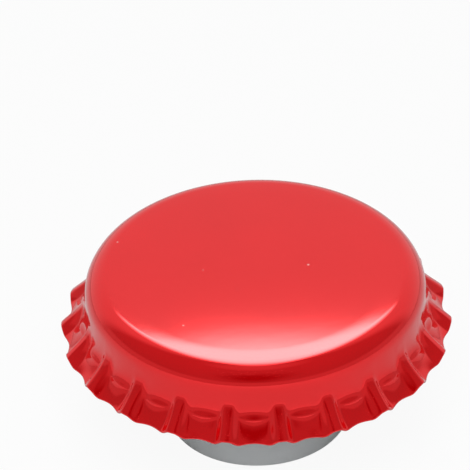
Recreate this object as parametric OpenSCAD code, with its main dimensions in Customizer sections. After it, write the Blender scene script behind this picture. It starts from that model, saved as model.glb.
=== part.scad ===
// Fluted crown cap with a sealing liner and a sediment cup.
// Stands on the cup's mouth rim, top panel up. Origin: centre of that rim, +Z up.

/* [Crown shell] */
// Diameter over the tips of the ridges
crown_d = 32.1; // [31.4:0.1:34]
// Height from the lower edge of the grooves to the middle of the top panel
crown_h = 5.9; // [5.4:0.1:6.8]
// Rise of the panel's shallow dome
panel_dome = 0.2; // [0.1:0.05:0.4]
// Outer diameter of the plain wall just under the shoulder
wall_d = 27.8; // [27:0.1:28.1]
// Outer radius of the rounded shoulder
shoulder_r = 1.9; // [1.2:0.1:2.2]
// Thickness of the sheet
sheet_t = 0.24; // [0.18:0.01:0.3]
// Lean of the plain wall away from vertical, in degrees
wall_lean = 5.5; // [2:0.5:7]

/* [Flutes] */
// Number of ridges round the skirt
flute_count = 22; // [18:1:26]
// Diameter over the ridges where they bend out of the wall
ridge_bend_d = 28.24; // [28.1:0.02:28.6]
// Height of that bend above the lower edge of the grooves
ridge_bend_h = 2.4; // [2.1:0.05:2.7]
// Lean of a ridge at its bend, in degrees
ridge_bend_lean = 28; // [15:1:35]
// Height of the ridge tips above the lower edge of the grooves
tip_lift = 0.4; // [0.2:0.05:0.8]
// Lean of a ridge at its tip, in degrees
tip_lean = 42; // [32:1:50]
// Diameter over the grooves at their knee
knee_d = 28.96; // [28.7:0.02:29.3]
// Height of the knee above the lower edge of the grooves
knee_h = 1.5; // [1.3:0.05:1.7]
// Lean of a groove just above its knee, in degrees
knee_lean = 35; // [28:1:42]
// Lean of a groove just below its knee, in degrees
step_lean = 18; // [10:1:28]
// Diameter over the lower edge of the grooves
groove_d = 30.9; // [30.5:0.1:31.4]
// Lean of a groove at its lower edge, in degrees
groove_lean = 33; // [24:1:42]
// Width of a ridge's crest where it leaves the wall
crest_top_w = 0.45; // [0.3:0.05:0.7]
// Width of a ridge's crest at the tip
crest_tip_w = 0.9; // [0.5:0.05:1.1]
// Width of a groove's floor where it leaves the wall
floor_top_w = 2.2; // [1.6:0.1:2.6]
// Width of a groove's floor at the lower edge
floor_edge_w = 2.6; // [2:0.1:2.9]
// Evenness of a flank: below 1 it is steepest near the crest
flank_skew = 0.6; // [0.5:0.05:1]
// Share of the flutes' depth that the grooves' floor is hollowed by at the edge
floor_hollow = 0.4; // [0.1:0.05:0.5]

/* [Sealing liner] */
// Thickness of the liner's disc
disc_t = 0.45; // [0.3:0.05:0.7]
// Height of the sealing ring above the disc
ring_h = 1.2; // [0.8:0.1:1.4]
// Width of the sealing ring's flat land
ring_land_w = 0.8; // [0.5:0.1:1.2]
// Width of the slope inside the land
ring_slope_w = 0.6; // [0.3:0.1:0.9]
// Diameter of the small bead on the disc
bead_d = 23.6; // [22:0.1:24]
// Width of the small bead
bead_w = 0.5; // [0.3:0.1:0.8]
// Height of the small bead
bead_h = 0.12; // [0.06:0.02:0.2]
// Height of the boss ring that the cup clips over
boss_h = 1.4; // [0.8:0.1:2]
// Width of the boss ring
boss_w = 0.8; // [0.5:0.1:1.2]

/* [Sediment cup] */
// Height of the cup below the lower edge of the grooves
cup_reach = 8.8; // [7:0.1:10]
// Outer diameter of the bead round the cup's foot
foot_d = 17.8; // [17.5:0.1:18.4]
// Height of the bead round the cup's foot
foot_h = 1.5; // [1:0.1:1.8]
// Outer diameter of the cylindrical land that plugs a neck
land_d = 17.2; // [16.8:0.1:17.4]
// Length of the cylindrical land
land_h = 3.4; // [2.5:0.1:4]
// Outer diameter of the cup at its mouth
mouth_d = 14.9; // [14:0.1:15.6]
// Rounding of the mouth's rim
mouth_round = 0.2; // [0.1:0.05:0.3]
// Thickness of the cup's wall
cup_wall = 0.85; // [0.7:0.05:1.1]
// Depth of the cup from its mouth to its floor
cup_depth = 5.2; // [4.6:0.1:6]
// Thickness of the cup's floor
floor_t = 0.9; // [0.7:0.1:1.2]
// Fillet between the cup's floor and its wall
floor_fillet = 0.7; // [0.4:0.1:1]

/* [Clearances] */
// Gap between the liner and the shell's wall
liner_gap = 0.05; // [0.03:0.01:0.1]
// Gap between the liner's boss ring and the cup
clip_gap = 0.05; // [0.03:0.01:0.1]

/* [Hidden] */
$fn = 96;

edge_z = cup_reach;              // lower edge of the grooves
top_z = edge_z + crown_h;        // outside of the top panel
rim_z = top_z - panel_dome;      // level of the panel's rim, under the dome
disc_z = rim_z - sheet_t - disc_t; // underside of the liner's disc
tip_z = edge_z + tip_lift;

// Flute outline from a ridge's centre (0) to a groove's centre (1), and how finely it is cut
flute_steps = [0, 0.16, 0.28, 0.43, 0.7];
shoulder_bands = 4;
skirt_steps = [0, 0.2, 0.36, 0.45, 0.5, 0.57, 0.68, 0.83, 1];
bend_t = 0.5;                    // where the wall's curve meets the flare's
holds = [0.55, 0.15, 0.1, 0.4];  // share of its chord for which each curve keeps to its lean
arc_steps = 10;
nudge = 0.04;                    // small step for measuring a surface's direction

function ease(t) = let (u = min(1, max(0, t))) u * u * (3 - 2 * u);
function mix(a, b, t) = a + (b - a) * t;
function heading(lean) = [sin(lean), -cos(lean)];
function cubic(a, b, c, d, t) =
    pow(1 - t, 3) * a + 3 * t * pow(1 - t, 2) * b + 3 * t * t * (1 - t) * c + pow(t, 3) * d;

// Points of an arc round c, from angle a0 to a1, in the plane of radius and height
function arc(c, r, a0, a1, n = arc_steps) =
    [for (i = [0:n]) let (a = mix(a0, a1, i / n)) c + r * [cos(a), sin(a)]];

// ---- crown shell: one sheet, as a skin and its offset by the sheet's thickness ----

wall_r = wall_d / 2;
panel_r = wall_r - shoulder_r * cos(wall_lean);
ball_r = (panel_r * panel_r + panel_dome * panel_dome) / (2 * panel_dome);
ball_z = top_z - ball_r;
shoulder_c = [panel_r, ball_z + sqrt(pow(ball_r - shoulder_r, 2) - panel_r * panel_r)];
meet = atan2(shoulder_c[1] - ball_z, panel_r);   // where the shoulder's arc meets the dome
wall_start = shoulder_c + shoulder_r * [cos(wall_lean), sin(wall_lean)];
tip = [crown_d / 2, tip_z];
ridge_bend = [ridge_bend_d / 2, edge_z + ridge_bend_h];
knee = [knee_d / 2, edge_z + knee_h];
groove_edge = [groove_d / 2, edge_z];

// A curve from a to b that leaves and arrives along its leans, for shares of its chord
function bow(a, b, lean_a, lean_b, hold_a, hold_b, t) =
    let (chord = norm(b - a))
    cubic(a, a + hold_a * chord * heading(lean_a), b - hold_b * chord * heading(lean_b), b, t);

// Section of a flute from the shoulder (t = 0) over its bend to the edge (1)
function flute_section(bend, lean_above, lean_below, end, end_lean, t) = t < bend_t
    ? bow(wall_start, bend, wall_lean, lean_above, holds[0], holds[1], t / bend_t)
    : bow(bend, end, lean_below, end_lean, holds[2], holds[3], (t - bend_t) / (1 - bend_t));

// Point of the skirt at u, from a ridge's centre (0) to a groove's centre (1)
function skirt(u, t) =
    let (pitch_half = PI * mix(wall_d, crown_d, t) / 2 / flute_count,
         ridge = flute_section(ridge_bend, ridge_bend_lean, ridge_bend_lean, tip, tip_lean, t),
         groove = flute_section(knee, knee_lean, step_lean, groove_edge, groove_lean, t),
         crest = mix(crest_top_w, crest_tip_w, t) / 2 / pitch_half,
         foot = 1 - mix(floor_top_w, floor_edge_w, t) / 2 / pitch_half,
         flank = ease(pow(max(0, (u - crest) / (foot - crest)), flank_skew)),
         hollow = floor_hollow * t,
         share = mix(flank, ease((u - crest) / (1 - crest)), hollow))
    [mix(ridge[0], groove[0], share), mix(ridge[1], groove[1], flank)];

// Outer skin: t runs over the panel from -2 to -1, over the shoulder to 0, down the skirt to 1
function profile(u, t) =
    t < -1 ? let (r = ball_r * cos(meet) * (t + 2)) [r, ball_z + sqrt(ball_r * ball_r - r * r)]
    : t < 0 ? let (a = mix(wall_lean, meet, -t)) shoulder_c + shoulder_r * [cos(a), sin(a)]
    : skirt(u, t);
function skin(a, t) =
    let (turns = a * flute_count / 360,
         u = 1 - abs(1 - 2 * (turns - floor(turns))),
         p = profile(u, t))
    [p[0] * cos(a), p[0] * sin(a), p[1]];

// Outward direction of the skin, from the surface close by on each side
function skin_out(a, t) =
    let (along = skin(a, min(1, t + nudge)) - skin(a, t - nudge),
         swing = nudge * 180 / flute_count,
         across = skin(a + swing, t) - skin(a - swing, t),
         n = cross(along, across))
    n / norm(n);
function inner_skin(a, t) = skin(a, t) - sheet_t * skin_out(a, t);

// Angles round the crown: the steps of half a flute, mirrored, for each flute
half_pitch = 180 / flute_count;
one_flute = concat(flute_steps, [1], [for (i = [len(flute_steps) - 1:-1:1]) 2 - flute_steps[i]]);
angles = [for (k = [0:flute_count - 1], f = one_flute) (2 * k + f) * half_pitch];
rows = concat([-1.5], [for (i = [0:shoulder_bands - 1]) i / shoulder_bands - 1], skirt_steps);

module crown_shell() {
    n = len(angles);
    m = len(rows);
    inner_base = m * n;
    outer_mid = 2 * m * n;
    inner_mid = outer_mid + 1;
    points = concat(
        [for (t = rows, a = angles) skin(a, t)],
        [for (t = rows, a = angles) inner_skin(a, t)],
        [[0, 0, top_z], [0, 0, top_z - sheet_t]]);
    function at(row, i) = row * n + i % n;
    faces = concat(
        [for (i = [0:n - 1]) [outer_mid, at(0, i + 1), at(0, i)]],
        [for (i = [0:n - 1]) [inner_mid, inner_base + at(0, i), inner_base + at(0, i + 1)]],
        [for (j = [0:m - 2], i = [0:n - 1], half = [0, 1])
            half == 0 ? [at(j, i), at(j, i + 1), at(j + 1, i)]
                      : [at(j, i + 1), at(j + 1, i + 1), at(j + 1, i)]],
        [for (j = [0:m - 2], i = [0:n - 1], half = [0, 1])
            half == 0 ? [inner_base + at(j, i), inner_base + at(j + 1, i), inner_base + at(j, i + 1)]
                      : [inner_base + at(j, i + 1), inner_base + at(j + 1, i),
                         inner_base + at(j + 1, i + 1)]],
        [for (i = [0:n - 1], half = [0, 1])
            half == 0 ? [at(m - 1, i), at(m - 1, i + 1), inner_base + at(m - 1, i)]
                      : [at(m - 1, i + 1), inner_base + at(m - 1, i + 1),
                         inner_base + at(m - 1, i)]]);
    color([0.85, 0.1, 0.1]) polyhedron(points = points, faces = faces, convexity = 8);
}

// ---- sealing liner: a disc with a raised ring, a small bead and the cup's boss ring ----

liner_r = wall_r - sheet_t - liner_gap;
liner_ball_r = ball_r - sheet_t - liner_gap;
liner_round = shoulder_r - sheet_t - 2 * liner_gap;   // clears the shell's facets
ring_z = disc_z - ring_h;
ring_in_r = liner_r - ring_land_w;
ring_foot_r = ring_in_r - ring_slope_w;
cup_in_r = land_d / 2 - cup_wall;
boss_r = cup_in_r - clip_gap;

module sealing_liner() {
    top_r = panel_r - liner_round / 4;
    bead_r = min(bead_d / 2, ring_foot_r - bead_w / 2 - 0.05);
    lead = boss_w / 4;
    section = concat(
        [for (i = [0:arc_steps]) let (r = top_r * i / arc_steps)
            [r, ball_z + sqrt(liner_ball_r * liner_ball_r - r * r)]],
        arc(shoulder_c, liner_round, meet, wall_lean),
        [[liner_r, ring_z], [ring_in_r, ring_z], [ring_foot_r, disc_z]],
        [[bead_r + bead_w / 2, disc_z], [bead_r, disc_z - bead_h], [bead_r - bead_w / 2, disc_z]],
        [[boss_r, disc_z], [boss_r, disc_z - boss_h + lead], [boss_r - lead, disc_z - boss_h]],
        [[boss_r - boss_w, disc_z - boss_h], [boss_r - boss_w, disc_z], [0, disc_z]]);
    color([0.93, 0.93, 0.91]) rotate_extrude() polygon(section);
}

// ---- sediment cup: H-section, its wall drawn in towards the mouth ----

land_r = land_d / 2;
foot_r = foot_d / 2;
mouth_r = mouth_d / 2;
land_z = disc_z - foot_h - land_h;       // where the barrel curve starts
barrel_in = land_r - mouth_r;
barrel_r = (land_z * land_z + barrel_in * barrel_in) / (2 * barrel_in);
function barrel(z) = z >= land_z
    ? land_r
    : land_r - barrel_r + sqrt(barrel_r * barrel_r - pow(land_z - z, 2));

module sediment_cup() {
    bead_out = foot_r - land_r;
    round_z = foot_h / 2;
    barrel_zs = [for (i = [1:arc_steps]) mix(mouth_round, land_z, i / arc_steps)];
    cavity_zs = [for (i = [0:arc_steps]) mix(cup_depth - floor_fillet, mouth_round, i / arc_steps)];
    cavity_r = barrel(cup_depth) - cup_wall;
    fillet_c = [barrel(cup_depth - floor_fillet) - cup_wall - floor_fillet, cup_depth - floor_fillet];
    section = concat(
        [[0, cup_depth]],
        arc(fillet_c, floor_fillet, 90, 0, 6),
        [for (z = cavity_zs) [barrel(z) - cup_wall, z]],
        arc([barrel(mouth_round) - cup_wall + mouth_round, mouth_round], mouth_round, 180, 270, 3),
        arc([barrel(mouth_round) - mouth_round, mouth_round], mouth_round, 270, 360, 3),
        [for (z = barrel_zs) [barrel(z), z]],
        [[land_r, disc_z - foot_h]],
        [for (i = [1:arc_steps]) let (w = i / arc_steps)
            [land_r + bead_out * ease(w), disc_z - foot_h + round_z * w]],
        [for (i = [1:arc_steps]) let (a = 90 * i / arc_steps)
            [foot_r - bead_out * (1 - cos(a)), disc_z - round_z + round_z * sin(a)]],
        [[cup_in_r, disc_z], [cup_in_r, cup_depth + floor_t], [0, cup_depth + floor_t]]);
    color([0.88, 0.89, 0.89]) rotate_extrude() polygon(section);
}

crown_shell();
sealing_liner();
sediment_cup();
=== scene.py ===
import math
import bpy
import numpy as np
from mathutils import Matrix, Vector


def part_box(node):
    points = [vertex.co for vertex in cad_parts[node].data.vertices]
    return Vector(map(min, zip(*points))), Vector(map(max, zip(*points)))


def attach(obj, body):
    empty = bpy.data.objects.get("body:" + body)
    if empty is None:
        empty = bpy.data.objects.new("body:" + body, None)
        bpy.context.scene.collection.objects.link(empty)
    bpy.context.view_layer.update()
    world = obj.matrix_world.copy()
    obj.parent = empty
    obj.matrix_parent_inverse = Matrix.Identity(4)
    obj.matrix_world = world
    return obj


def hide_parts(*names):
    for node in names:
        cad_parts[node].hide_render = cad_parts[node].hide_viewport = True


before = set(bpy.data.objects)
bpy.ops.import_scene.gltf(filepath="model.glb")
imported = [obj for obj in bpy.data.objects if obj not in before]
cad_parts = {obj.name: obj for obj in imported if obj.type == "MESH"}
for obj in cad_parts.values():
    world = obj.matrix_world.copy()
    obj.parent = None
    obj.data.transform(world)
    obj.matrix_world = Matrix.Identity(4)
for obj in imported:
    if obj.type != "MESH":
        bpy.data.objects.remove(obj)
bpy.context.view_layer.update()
print("frame loaded:", sorted(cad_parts))

mm = 0.001  # every size below is in millimetres, brought to metres as its mesh is made

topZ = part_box("crown_shell")[1].z / mm  # outside of the top panel
edgeZ = topZ - 5.9                      # lower edge of the grooves


# ---- camera ----

view = {
    "azimuth": 1.92,     # degrees round the cap, from straight in front
    "elevation": 36.0,   # degrees above the floor
    "roll": 1.85,        # degrees that the cap leans to the left in the picture
    "distance": 400.0,
    "scale": 12.24,      # picture points for each millimetre at the target
    "target": (0.0, 0.0, 11.0),
    "targetPoint": (255.7, 304.0),
    "picture": 470.0,
    "sensor": 36.0,
}


def placeCamera(v):
    # the camera looks along -back; its own axes are the level ones turned by the roll
    az, el, roll = (math.radians(v[k]) for k in ("azimuth", "elevation", "roll"))
    back = Vector((math.sin(az) * math.cos(el), -math.cos(az) * math.cos(el), math.sin(el)))
    level = Vector((math.cos(az), math.sin(az), 0.0))
    upright = back.cross(level)
    right = level * math.cos(roll) - upright * math.sin(roll)
    up = level * math.sin(roll) + upright * math.cos(roll)
    aside = (v["targetPoint"][0] - v["picture"] / 2) / v["scale"]
    below = (v["targetPoint"][1] - v["picture"] / 2) / v["scale"]
    place = Vector(v["target"]) + back * v["distance"] - right * aside + up * below
    data = bpy.data.cameras.new("camera")
    data.sensor_width = v["sensor"]
    data.lens = v["sensor"] * v["scale"] * v["distance"] / v["picture"]
    data.clip_start = v["distance"] * mm / 100
    data.clip_end = v["distance"] * mm * 10
    cam = bpy.data.objects.new("camera", data)
    turn = Matrix((right, up, back)).transposed().to_4x4()
    cam.matrix_world = Matrix.Translation(place * mm) @ turn
    bpy.context.scene.collection.objects.link(cam)
    bpy.context.scene.camera = cam


placeCamera(view)
print("camera placed")


# ---- helpers for surfaces ----

def ease(x):
    # smooth step: 3x^2 - 2x^3 between 0 and 1
    x = np.clip(x, 0.0, 1.0)
    return x * x * (3 - 2 * x)


def mix(a, b, t):
    return a + (b - a) * t


def heading(lean):
    # unit step down a line that leans outwards, as (radius, height)
    lean = math.radians(lean)
    return np.array([math.sin(lean), -math.cos(lean)])


def cubicPath(p0, p1, p2, p3, t):
    # Bezier cubic: sum of the four points weighted by the Bernstein polynomials
    t = np.asarray(t)[..., None]
    return (1 - t) ** 3 * p0 + 3 * t * (1 - t) ** 2 * p1 + 3 * t * t * (1 - t) * p2 + t ** 3 * p3


def arcPoints(centre, radius, start, end, count):
    # circle about centre in the plane of radius and height, angles in degrees
    a = np.radians(np.linspace(start, end, count))
    return np.stack([centre[0] + radius * np.cos(a), centre[1] + radius * np.sin(a)], -1)


def closedSurface(name, grid, topPole, endPole, slots, rowSlots):
    # grid of rows by columns by xyz, closed round its columns, with a point closing each end
    rows, cols = grid.shape[:2]
    points = np.concatenate([grid.reshape(-1, 3), [topPole, endPole]]) * mm
    first, last = rows * cols, rows * cols + 1
    j, i = np.meshgrid(np.arange(rows - 1), np.arange(cols), indexing="ij")
    k = (i + 1) % cols
    quads = np.stack([j * cols + i, (j + 1) * cols + i, (j + 1) * cols + k, j * cols + k], -1)
    quads = quads.reshape(-1, 4)
    c = np.arange(cols)
    n = (c + 1) % cols
    top = np.stack([np.full(cols, first), c, n], -1)
    end = np.stack([np.full(cols, last), (rows - 1) * cols + n, (rows - 1) * cols + c], -1)
    mesh = bpy.data.meshes.new(name)
    mesh.from_pydata(points.tolist(), [], quads.tolist() + top.tolist() + end.tolist())
    ends = np.full(cols, rowSlots[0]), np.full(cols, rowSlots[-1])
    faceSlots = np.concatenate([np.repeat(rowSlots, cols), *ends])
    mesh.polygons.foreach_set("material_index", faceSlots.astype(np.int32))
    mesh.polygons.foreach_set("use_smooth", np.ones(len(mesh.polygons), bool))
    mesh.update()
    for material in slots:
        mesh.materials.append(material)
    piece = bpy.data.objects.new(name, mesh)
    bpy.context.scene.collection.objects.link(piece)
    return piece


def spun(section, cols):
    # a section of (radius, height) points carried round the axis
    a = np.arange(cols) * 2 * np.pi / cols
    r = section[:, 0][:, None]
    z = np.repeat(section[:, 1][:, None], cols, 1)
    return np.stack([r * np.cos(a), r * np.sin(a), z], -1)


# ---- materials ----

def newMaterial(name):
    # material with one principled shader, given back with its tree and that shader
    m = bpy.data.materials.new(name)
    m.use_nodes = True
    tree = m.node_tree
    tree.nodes.clear()
    out = tree.nodes.new("ShaderNodeOutputMaterial")
    shader = tree.nodes.new("ShaderNodeBsdfPrincipled")
    tree.links.new(shader.outputs[0], out.inputs[0])
    return m, tree, shader


def add(tree, kind, values=None, **settings):
    # shader node of a kind, with its settings and the values of its inputs
    node = tree.nodes.new("ShaderNode" + kind)
    for key, value in settings.items():
        setattr(node, key, value)
    for key, value in (values or {}).items():
        node.inputs[key].default_value = value
    return node


def noiseOver(tree, scale, detail, rough=0.5):
    # cloud pattern on Object coordinates, scale in patches for each metre
    coords = add(tree, "TexCoord")
    noise = add(tree, "TexNoise", {"Scale": scale, "Detail": detail, "Roughness": rough})
    tree.links.new(coords.outputs["Object"], noise.inputs["Vector"])
    return noise


def ramp(tree, source, low, high, start, end):
    # source between low and high brought to start and end, held beyond
    node = add(tree, "MapRange", {"From Min": low, "From Max": high, "To Min": start, "To Max": end})
    tree.links.new(source, node.inputs["Value"])
    return node.outputs[0]


def mottle(tree, shader, v):
    # cloud pattern that blends the colour with its shade, which is given back, and moves the roughness
    tone = noiseOver(tree, *v["tone"])
    blend = add(tree, "Mix", data_type="RGBA")
    blend.inputs["A"].default_value = v["colour"]
    blend.inputs["B"].default_value = v["shade"]
    tree.links.new(ramp(tree, tone.outputs[0], *v["blend"], 0.0, 1.0), blend.inputs["Factor"])
    spread = ramp(tree, tone.outputs[0], 0.3, 0.7, *v["roughness"])
    tree.links.new(spread, shader.inputs["Roughness"])
    return blend.outputs["Result"]


def roughen(tree, v):
    # bump from a fine cloud pattern, its height in millimetres
    fine = noiseOver(tree, v["scale"], v["detail"])
    bump = add(tree, "Bump", {"Strength": v["strength"], "Distance": v["height"] * mm})
    tree.links.new(fine.outputs[0], bump.inputs["Height"])
    return bump.outputs[0]


# tone = patches for each metre, detail, roughness of the cloud pattern; blend = where it changes colour
lacquer = {
    "colour": (0.84, 0.002, 0.005, 1.0),
    "shade": (0.80, 0.0015, 0.004, 1.0),
    "tone": (140.0, 3.0, 0.5),
    "blend": (0.35, 0.65),
    "metal": 0.72,             # how much of the tin shows through the lacquer
    "roughness": (0.05, 0.08),
    "coatRoughness": 0.07,
    "coatIor": 1.5,
    "peel": {"scale": 900.0, "detail": 1.0, "strength": 0.15, "height": 0.004},
    "specks": {
        "scale": 700.0,        # cells for each metre
        "size": (0.054, 0.09),  # reach of a speck, full and faded out, in cells
        "share": 0.10,         # of the cells that hold one
        "colour": (0.92, 0.34, 0.32, 1.0),
    },
}


def specks(tree, v):
    # small round spots: near the centre of a few cells of a cell pattern
    coords = add(tree, "TexCoord")
    cells = add(tree, "TexVoronoi", {"Scale": v["scale"], "Randomness": 1.0})
    tree.links.new(coords.outputs["Object"], cells.inputs["Vector"])
    tint = add(tree, "SeparateColor")
    tree.links.new(cells.outputs["Color"], tint.inputs[0])
    near = ramp(tree, cells.outputs["Distance"], *v["size"], 1.0, 0.0)
    chosen = add(tree, "Math", {1: v["share"]}, operation="LESS_THAN")
    tree.links.new(tint.outputs[0], chosen.inputs[0])
    both = add(tree, "Math", operation="MULTIPLY")
    tree.links.new(near, both.inputs[0])
    tree.links.new(chosen.outputs[0], both.inputs[1])
    return both.outputs[0]


def lacquerMaterial(v):
    # red lacquer that the tin shows through, under a clear coat, with a few pale specks
    m, tree, shader = newMaterial("redLacquer")
    shader.inputs["Metallic"].default_value = v["metal"]
    shader.inputs["Specular IOR Level"].default_value = 0.0
    shader.inputs["Coat Weight"].default_value = 1.0
    shader.inputs["Coat IOR"].default_value = v["coatIor"]
    shader.inputs["Coat Roughness"].default_value = v["coatRoughness"]
    spotted = add(tree, "Mix", data_type="RGBA")
    spotted.inputs["B"].default_value = v["specks"]["colour"]
    tree.links.new(specks(tree, v["specks"]), spotted.inputs["Factor"])
    tree.links.new(mottle(tree, shader, v), spotted.inputs["A"])
    tree.links.new(spotted.outputs["Result"], shader.inputs["Base Color"])
    peel = roughen(tree, v["peel"])
    tree.links.new(peel, shader.inputs["Normal"])
    tree.links.new(peel, shader.inputs["Coat Normal"])
    return m


tin = {
    "colour": (0.62, 0.60, 0.57, 1.0),
    "shade": (0.50, 0.47, 0.43, 1.0),
    "tone": (260.0, 4.0, 0.6),
    "blend": (0.4, 0.7),
    "roughness": (0.18, 0.34),
}


def tinMaterial(v):
    # bare tin with clouded stains
    m, tree, shader = newMaterial("tinPlate")
    shader.inputs["Metallic"].default_value = 1.0
    tree.links.new(mottle(tree, shader, v), shader.inputs["Base Color"])
    return m


grain = {"scale": 2500.0, "detail": 2.0, "strength": 0.2, "height": 0.01}
linerPaint = {
    "colour": (0.80, 0.80, 0.78, 1.0),
    "shade": (0.768, 0.768, 0.7488, 1.0),
    "tone": (320.0, 3.0, 0.5),
    "blend": (0.35, 0.65),
    "roughness": (0.32, 0.42),
    "scatter": 0.15,
    "depth": 0.6,              # that light goes in
    "grain": grain,
}
cupPaint = {
    "colour": (0.74, 0.76, 0.77, 1.0),
    "shade": (0.7104, 0.7296, 0.7392, 1.0),
    "tone": (320.0, 3.0, 0.5),
    "blend": (0.35, 0.65),
    "roughness": (0.36, 0.46),
    "scatter": 0.5,
    "depth": 1.2,
    "grain": grain,
}


def plasticMaterial(name, v):
    # milky plastic that light goes a little way into, with a fine grain
    m, tree, shader = newMaterial(name)
    shader.inputs["Subsurface Weight"].default_value = v["scatter"]
    shader.inputs["Subsurface Scale"].default_value = v["depth"] * mm
    shader.inputs["Subsurface Radius"].default_value = (1.0, 1.0, 1.0)
    tree.links.new(mottle(tree, shader, v), shader.inputs["Base Color"])
    tree.links.new(roughen(tree, v["grain"]), shader.inputs["Normal"])
    return m


redLacquer = lacquerMaterial(lacquer)
tinPlate = tinMaterial(tin)
linerPlastic = plasticMaterial("linerPlastic", linerPaint)
cupPlastic = plasticMaterial("cupPlastic", cupPaint)
print("materials made")


# ---- crown shell ----

crown = {
    "flutes": 22,
    "sheet": 0.24,
    "wallRadius": 13.9,          # at the foot of the shoulder
    "wallLean": 5.5,
    "startLean": (8.5, 5.0),     # where the skirt leaves the shoulder: of a ridge, of a groove
    "shoulder": 1.9,
    "dome": 0.2,
    "ridgeBend": (14.13, 2.5),   # radius, and height above the lower edge of the grooves
    "ridgeBendLean": (28.0, 28.0),            # above it, below it
    "tip": (16.05, 0.4),
    "tipLean": 42.0,
    "knee": (14.5, 1.47),        # the bend half way down a groove
    "kneeLean": (37.0, 12.0),
    "grooveEdge": (15.45, 0.0),
    "grooveLean": 48.0,
    "ridgeHolds": (0.40, 0.30, 0.25, 0.35),   # share of its chord for which each curve keeps to its lean
    "grooveHolds": (0.68, 0.30, 0.30, 0.20),
    "bendAt": 0.5,               # share of the way down the skirt
    "endAt": 0.98,               # where the skin stops, to leave room for the rounded lip
    "crestWidth": (0.80, 0.40),  # at the top of the skirt, at the tip
    "floorWidth": (2.2, 2.3),    # of a groove, between its flanks
    "flankSkew": 1.0,            # below 1 the flank is steepest near the crest
    "scallopSkew": 0.8,          # the same for the hollow of the floor
    "hollow": (0.3, 1.0),        # share of the depth that the floor is hollowed by, at the top and the edge
    "stepsPerFlute": 28,
    "rows": {"panel": 9, "shoulder": 14, "wall": 15, "flare": 25, "lip": 5},
}


def bow(a, b, leanA, leanB, holdA, holdB, t):
    # cubic from a to b that leaves and arrives along its leans, for shares of its chord
    chord = np.linalg.norm(b - a)
    return cubicPath(a, a + holdA * chord * heading(leanA), b - holdB * chord * heading(leanB), b, t)


def fluteSection(c, start, startLean, bend, leans, end, endLean, h, t):
    # two curves that meet at the bend: the wall above it, the flare below it
    bend = np.array([bend[0], edgeZ + bend[1]])
    end = np.array([end[0], edgeZ + end[1]])
    m = c["bendAt"]
    upper = bow(start, bend, startLean, leans[0], h[0], h[1], np.clip(t / m, 0, 1))
    lower = bow(bend, end, leans[1], endLean, h[2], h[3], np.clip((t - m) / (1 - m), 0, 1))
    return np.where((t < m)[:, None], upper, lower)


def domeAndShoulder(c):
    # ball whose cap is the panel, and the shoulder's arc that meets it without a break
    panelRadius = c["wallRadius"] - c["shoulder"] * math.cos(math.radians(c["wallLean"]))
    ball = (panelRadius ** 2 + c["dome"] ** 2) / (2 * c["dome"])
    ballZ = topZ - ball
    centre = np.array([panelRadius, ballZ + math.sqrt((ball - c["shoulder"]) ** 2 - panelRadius ** 2)])
    return ball, ballZ, centre, math.degrees(math.atan2(centre[1] - ballZ, panelRadius))


def crownSkin(c):
    # rows of outer points: the panel, the shoulder, and a skirt that is a ridge's section
    # and a groove's section mixed by the place within a flute
    columns = c["flutes"] * c["stepsPerFlute"]
    angle = np.arange(columns) * 2 * np.pi / columns
    ball, ballZ, centre, meet = domeAndShoulder(c)
    panelEnd = ball * math.cos(math.radians(meet))
    r = np.linspace(0, panelEnd, c["rows"]["panel"] + 1)[1:]
    panel = np.stack([r, ballZ + np.sqrt(ball ** 2 - r ** 2)], -1)
    shoulder = arcPoints(centre, c["shoulder"], meet, c["wallLean"], c["rows"]["shoulder"] + 1)[1:]
    start = shoulder[-1]
    t = np.concatenate([np.linspace(0, c["bendAt"], c["rows"]["wall"] + 1)[1:],
                        np.linspace(c["bendAt"], c["endAt"], c["rows"]["flare"] + 1)[1:]])
    leanR, leanG = c["startLean"]
    ridge = fluteSection(c, start, leanR, c["ridgeBend"], c["ridgeBendLean"], c["tip"], c["tipLean"],
                         c["ridgeHolds"], t)
    groove = fluteSection(c, start, leanG, c["knee"], c["kneeLean"], c["grooveEdge"], c["grooveLean"],
                          c["grooveHolds"], t)
    turns = angle * c["flutes"] / (2 * np.pi)
    u = 1 - np.abs(1 - 2 * (turns - np.floor(turns)))[None, :]
    halfPitch = np.pi * mix(c["wallRadius"], c["tip"][0], t)[:, None] / c["flutes"]
    crest = mix(*c["crestWidth"], t)[:, None] / 2 / halfPitch
    foot = 1 - mix(*c["floorWidth"], t)[:, None] / 2 / halfPitch
    flank = ease(np.clip((u - crest) / (foot - crest), 0, 1) ** c["flankSkew"])
    scallop = ease(np.clip((u - crest) / (1 - crest), 0, 1) ** c["scallopSkew"])
    share = mix(flank, scallop, mix(*c["hollow"], t)[:, None])
    r = mix(ridge[:, 0][:, None], groove[:, 0][:, None], share)
    z = mix(ridge[:, 1][:, None], groove[:, 1][:, None], flank)
    plain = np.repeat(np.concatenate([panel, shoulder])[:, None, :], columns, 1)
    r = np.concatenate([plain[..., 0], r])
    z = np.concatenate([plain[..., 1], z])
    return np.stack([r * np.cos(angle), r * np.sin(angle), z], -1)


def skinDirections(grid):
    # along = step down the rows, around = step round the columns; outward is their cross product
    along = np.gradient(grid, axis=0)
    around = np.roll(grid, -1, 1) - np.roll(grid, 1, 1)
    along /= np.linalg.norm(along, axis=-1, keepdims=True)
    outward = np.cross(along, around)
    outward /= np.linalg.norm(outward, axis=-1, keepdims=True)
    return along, outward


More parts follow.
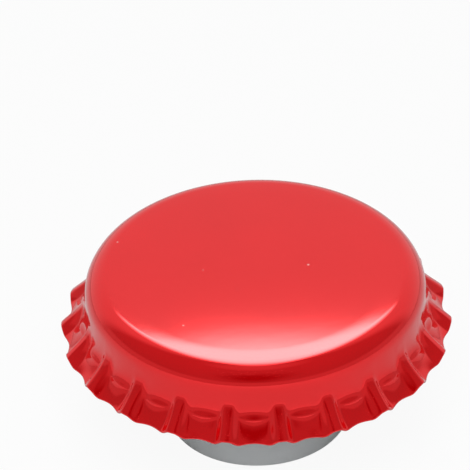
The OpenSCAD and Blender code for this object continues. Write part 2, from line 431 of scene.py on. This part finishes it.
def makeCrown(c):
    # outer skin, half a circle round the lip, and the outer skin set in by the sheet's thickness
    outer = crownSkin(c)
    along, outward = skinDirections(outer)
    inner = outer - c["sheet"] * outward
    half = c["sheet"] / 2
    swing = np.linspace(0, np.pi, c["rows"]["lip"] + 2)[1:-1, None, None]
    lip = outer[-1] - half * outward[-1]
    lip = lip + half * (np.cos(swing) * outward[-1] + np.sin(swing) * along[-1])
    grid = np.concatenate([outer, lip, inner[::-1]])
    rowSlots = np.zeros(len(grid) - 1, int)
    rowSlots[len(outer) + c["rows"]["lip"]:] = 1
    piece = closedSurface("crownShell", grid, (0, 0, topZ), (0, 0, topZ - c["sheet"]),
                          [redLacquer, tinPlate], rowSlots)
    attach(piece, "root")
    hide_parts("crown_shell")
    return piece


crownShell = makeCrown(crown)
print("crown shell:", len(crownShell.data.polygons), "faces")


# ---- sealing liner ----

liner = {
    "radius": 13.61,
    "gap": 0.05,               # to the shell, all over
    "disc": 0.45,
    "ring": 1.2,
    "ringEdge": 0.1,           # cut off the ring's outer edge
    "land": 0.8,
    "landEdge": (0.1, 0.06),   # cut off its inner edge, across and up
    "slope": 0.6,
    "beadRadius": 11.8,
    "bead": (0.5, 0.12),       # width, height
    "bossRadius": 7.70,
    "boss": (0.8, 1.4),
    "bossEdge": 0.2,
    "rows": {"dome": 12, "shoulder": 12, "bead": 7},
    "columns": 288,
}


def makeLiner(v, c):
    # half section spun round the axis: dome and shoulder under the shell, ring, slope, bead, boss
    discZ = topZ - c["dome"] - c["sheet"] - v["disc"]
    ringZ = discZ - v["ring"]
    ball, ballZ, centre, meet = domeAndShoulder(c)
    ball -= c["sheet"] + v["gap"]
    corner = c["shoulder"] - c["sheet"] - 2 * v["gap"]
    rows = v["rows"]
    r = np.linspace(0, centre[0] - corner / 4, rows["dome"])[1:]
    dome = np.stack([r, ballZ + np.sqrt(ball ** 2 - r ** 2)], -1)
    landIn = v["radius"] - v["land"]
    slopeIn = landIn - v["slope"]
    edge, landEdge, bossEdge = v["ringEdge"], v["landEdge"], v["bossEdge"]
    a = np.linspace(0, np.pi, rows["bead"])
    beadWide, beadHigh = v["bead"]
    bead = np.stack([v["beadRadius"] + beadWide / 2 * np.cos(a), discZ - beadHigh * np.sin(a)], -1)
    boss = v["bossRadius"]
    bossIn, bossZ = boss - v["boss"][0], discZ - v["boss"][1]
    section = np.concatenate([
        dome,
        arcPoints(centre, corner, meet, c["wallLean"], rows["shoulder"]),
        [[v["radius"], ringZ + edge], [v["radius"] - edge, ringZ]],
        [[landIn + landEdge[0], ringZ], [landIn, ringZ + landEdge[1]]],
        [[slopeIn, discZ]],
        bead,
        [[boss, discZ], [boss, bossZ + bossEdge], [boss - bossEdge, bossZ]],
        [[bossIn, bossZ], [bossIn, discZ]],
    ])
    grid = spun(section, v["columns"])
    piece = closedSurface("sealingLiner", grid, (0, 0, ballZ + ball), (0, 0, discZ), [linerPlastic],
                          np.zeros(len(grid) - 1, int))
    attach(piece, "root")
    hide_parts("sealing_liner")
    return piece


sealingLiner = makeLiner(liner, crown)
print("sealing liner:", len(sealingLiner.data.polygons), "faces")


# ---- sediment cup ----

cup = {
    "landRadius": 8.6,
    "footRadius": 8.9,
    "footHeight": 1.5,
    "landHeight": 3.4,
    "mouthRadius": 7.45,
    "rim": 0.2,
    "wall": 0.85,
    "depth": 5.2,
    "floor": 0.9,
    "fillet": 0.7,
    "rows": {"wall": 14, "fillet": 8, "rim": 5},
    "columns": 288,
}


def barrel(v, z, landZ):
    # plain above landZ, below it an arc of a circle drawn in to the mouth
    inset = v["landRadius"] - v["mouthRadius"]
    big = (landZ ** 2 + inset ** 2) / (2 * inset)
    return np.where(z >= landZ, v["landRadius"],
                    v["landRadius"] - big + np.sqrt(big ** 2 - np.clip(landZ - z, 0, None) ** 2))


def makeCup(v):
    # half section spun round the axis: cavity, rim, barrelled side, flare and bead of the foot
    footZ = topZ - crown["dome"] - crown["sheet"] - liner["disc"]
    landZ = footZ - v["footHeight"] - v["landHeight"]
    rows = v["rows"]
    steps = np.linspace(0, 1, rows["wall"])
    w = v["wall"]
    z = mix(v["depth"] - v["fillet"], v["rim"], steps)
    cavity = np.stack([barrel(v, z, landZ) - w, z], -1)
    filletR = float(barrel(v, v["depth"] - v["fillet"], landZ)) - w - v["fillet"]
    fillet = arcPoints((filletR, v["depth"] - v["fillet"]), v["fillet"], 90, 0, rows["fillet"])[:-1]
    rimR = float(barrel(v, v["rim"], landZ))
    innerRim = arcPoints((rimR - w + v["rim"], v["rim"]), v["rim"], 180, 270, rows["rim"])[1:]
    outerRim = arcPoints((rimR - v["rim"], v["rim"]), v["rim"], 270, 360, rows["rim"])
    z = mix(v["rim"], landZ, steps[1:])
    side = np.stack([barrel(v, z, landZ), z], -1)
    bulge = v["footRadius"] - v["landRadius"]
    half = v["footHeight"] / 2
    flareZ = footZ - v["footHeight"] + half * steps
    flare = np.stack([v["landRadius"] + bulge * ease(steps), flareZ], -1)
    a = np.radians(90 * steps[1:])
    bead = np.stack([v["footRadius"] - bulge * (1 - np.cos(a)), footZ - half + half * np.sin(a)], -1)
    inR = v["landRadius"] - w
    upper = v["depth"] + v["floor"]
    section = np.concatenate([fillet, cavity, innerRim, outerRim, side, flare, bead,
                              [[inR, footZ], [inR, upper]]])
    grid = spun(section, v["columns"])[::-1]
    piece = closedSurface("sedimentCup", grid, (0, 0, upper), (0, 0, v["depth"]), [cupPlastic],
                          np.zeros(len(grid) - 1, int))
    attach(piece, "root")
    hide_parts("sediment_cup")
    return piece


sedimentCup = makeCup(cup)
print("sediment cup:", len(sedimentCup.data.polygons), "faces")


# ---- floor, lights and world ----

studio = {
    "floorSize": 700.0,
    "hole": 7.3,             # radius of the opening in the floor, hidden under the cup
    "holeSides": 64,
    "floorShade": 0.38,      # colour of the floor to every ray but the camera's
    "floorWhite": 0.93,      # share of plain white that the camera sees
    "fill": {"elevation": 55.0, "distance": 500.0, "size": 300.0, "light": 1.15},
    # angles in degrees; an edge goes from dark to bright
    "softbox": {
        "radiance": 7.3,
        "lowerEdge": (39.3, 41.4),
        "upperEdge": (84.0, 56.0),
        "sideEdge": (28.0, 4.0),
        "cornerLift": (0.03, 0.15, 2.0),    # how far the lower edge rises away from the middle
    },
    # each is a brightness after the two ends of its edge
    "room": {
        "darkPatch": 39.0,                  # elevation of its middle, in front
        "around": (4.0, 28.0, 0.2),         # degrees from the dark patch
        "horizon": (22.0, 12.0, 0.38),
        "below": (-8.0, -20.0, 0.5),        # seen only through the opening under the cup
        "zenith": (60.0, 85.0, 0.4),
        "behind": (0.1, 0.5, 0.65),         # by the share of backwards in the direction
    },
}


def makeFloor(v):
    # a square sheet with an opening that lets light into the cup's mouth, clear from below
    sides = v["holeSides"]
    a = (np.arange(sides) + 0.5) * 2 * np.pi / sides
    ring = np.stack([np.cos(a), np.sin(a), 0 * a], -1)
    hole = ring * v["hole"] * mm
    edge = ring * v["floorSize"] * mm / np.abs(ring).max(1)[:, None]
    k = np.arange(sides)
    n = (k + 1) % sides
    faces = np.stack([k, k + sides, n + sides, n], -1)
    mesh = bpy.data.meshes.new("floor")
    mesh.from_pydata(np.concatenate([hole, edge]).tolist(), [], faces.tolist())
    m = bpy.data.materials.new("floorPaper")
    m.use_nodes = True
    tree = m.node_tree
    tree.nodes.clear()
    out = tree.nodes.new("ShaderNodeOutputMaterial")
    paper = add(tree, "BsdfDiffuse")
    white = add(tree, "Emission", {"Color": (1.0, 1.0, 1.0, 1.0), "Strength": 1.0})
    rays = add(tree, "LightPath")
    paper.inputs["Color"].default_value = (v["floorShade"],) * 3 + (1.0,)
    share = add(tree, "Math", {1: v["floorWhite"]}, operation="MULTIPLY")
    tree.links.new(rays.outputs["Is Camera Ray"], share.inputs[0])
    seen = add(tree, "MixShader")
    tree.links.new(share.outputs[0], seen.inputs[0])
    tree.links.new(paper.outputs[0], seen.inputs[1])
    tree.links.new(white.outputs[0], seen.inputs[2])
    under = add(tree, "NewGeometry")
    clear = add(tree, "BsdfTransparent")
    side = add(tree, "MixShader")
    tree.links.new(under.outputs["Backfacing"], side.inputs[0])
    tree.links.new(seen.outputs[0], side.inputs[1])
    tree.links.new(clear.outputs[0], side.inputs[2])
    tree.links.new(side.outputs[0], out.inputs[0])
    mesh.materials.append(m)
    floor = bpy.data.objects.new("floor", mesh)
    bpy.context.scene.collection.objects.link(floor)


def makeFill(v):
    # a large lamp in front that lights without showing in the lacquer
    el = math.radians(v["elevation"])
    data = bpy.data.lights.new("fill", "AREA")
    data.size = v["size"] * mm
    # watts = light x 4 pi x distance squared, so that a lamp moved out keeps its level
    data.energy = v["light"] * 4 * (v["distance"] * mm) ** 2 * math.pi
    lamp = bpy.data.objects.new("fill", data)
    back = Vector((0.0, -math.cos(el), math.sin(el)))
    right = Vector((1.0, 0.0, 0.0))
    turn = Matrix((right, back.cross(right), back)).transposed().to_4x4()
    lamp.matrix_world = Matrix.Translation(back * v["distance"] * mm) @ turn
    lamp.visible_camera = False
    lamp.visible_glossy = False
    bpy.context.scene.collection.objects.link(lamp)


def makeWorld(v):
    # brightness over direction: a room with a dark patch in front, and a softbox behind
    world = bpy.data.worlds.new("studio")
    bpy.context.scene.world = world
    world.use_nodes = True
    tree = world.node_tree
    tree.nodes.clear()
    out = tree.nodes.new("ShaderNodeOutputWorld")
    coords = add(tree, "TexCoord")
    split = add(tree, "SeparateXYZ")
    tree.links.new(coords.outputs["Generated"], split.inputs[0])

    def maths(operation, a, b):
        # one step of arithmetic on sockets or numbers
        node = add(tree, "Math", operation=operation)
        for k, value in enumerate((a, b)):
            if isinstance(value, bpy.types.NodeSocket):
                tree.links.new(value, node.inputs[k])
            else:
                node.inputs[k].default_value = value
        return node.outputs[0]

    def fade(source, start, end, level=1.0):
        # smooth step from 0 at start to level at end
        node = add(tree, "MapRange", {"To Max": level}, interpolation_type="SMOOTHSTEP")
        low, high = sorted((start, end))
        node.inputs["From Min"].default_value = low
        node.inputs["From Max"].default_value = high
        tree.links.new(source, node.inputs["Value"])
        return node.outputs[0] if start < end else maths("SUBTRACT", level, node.outputs[0])

    x, y, z = split.outputs
    elevation = maths("MULTIPLY", maths("ARCSINE", z, 0.0), 180 / math.pi)
    aside = maths("ABSOLUTE", maths("MULTIPLY", maths("ARCTAN2", x, y), 180 / math.pi), 0.0)
    room, box = v["room"], v["softbox"]

    elFront = math.radians(room["darkPatch"])
    towards = maths("MULTIPLY", z, math.sin(elFront))
    towards = maths("SUBTRACT", towards, maths("MULTIPLY", y, math.cos(elFront)))
    apart = maths("MULTIPLY", maths("ARCCOSINE", towards, 0.0), 180 / math.pi)
    level = fade(apart, *room["around"])
    for part in ("horizon", "below", "zenith"):
        level = maths("MAXIMUM", level, fade(elevation, *room[part]))
    level = maths("MAXIMUM", level, fade(y, *room["behind"]))

    lift = fade(maths("ABSOLUTE", x, 0.0), *box["cornerLift"])
    glow = fade(maths("SUBTRACT", elevation, lift), *box["lowerEdge"])
    glow = maths("MULTIPLY", glow, fade(elevation, *box["upperEdge"]))
    glow = maths("MULTIPLY", glow, fade(aside, *box["sideEdge"], box["radiance"]))
    level = maths("ADD", level, glow)

    rays = add(tree, "LightPath")
    seen = add(tree, "Mix", data_type="FLOAT")
    seen.inputs["B"].default_value = 1.0
    tree.links.new(rays.outputs["Is Camera Ray"], seen.inputs["Factor"])
    tree.links.new(level, seen.inputs["A"])
    sky = add(tree, "Background", {"Color": (1.0, 1.0, 1.0, 1.0)})
    tree.links.new(seen.outputs["Result"], sky.inputs["Strength"])
    tree.links.new(sky.outputs[0], out.inputs[0])


makeFloor(studio)
makeFill(studio["fill"])
makeWorld(studio)
bpy.context.scene.view_settings.view_transform = "Standard"
print("studio lit")
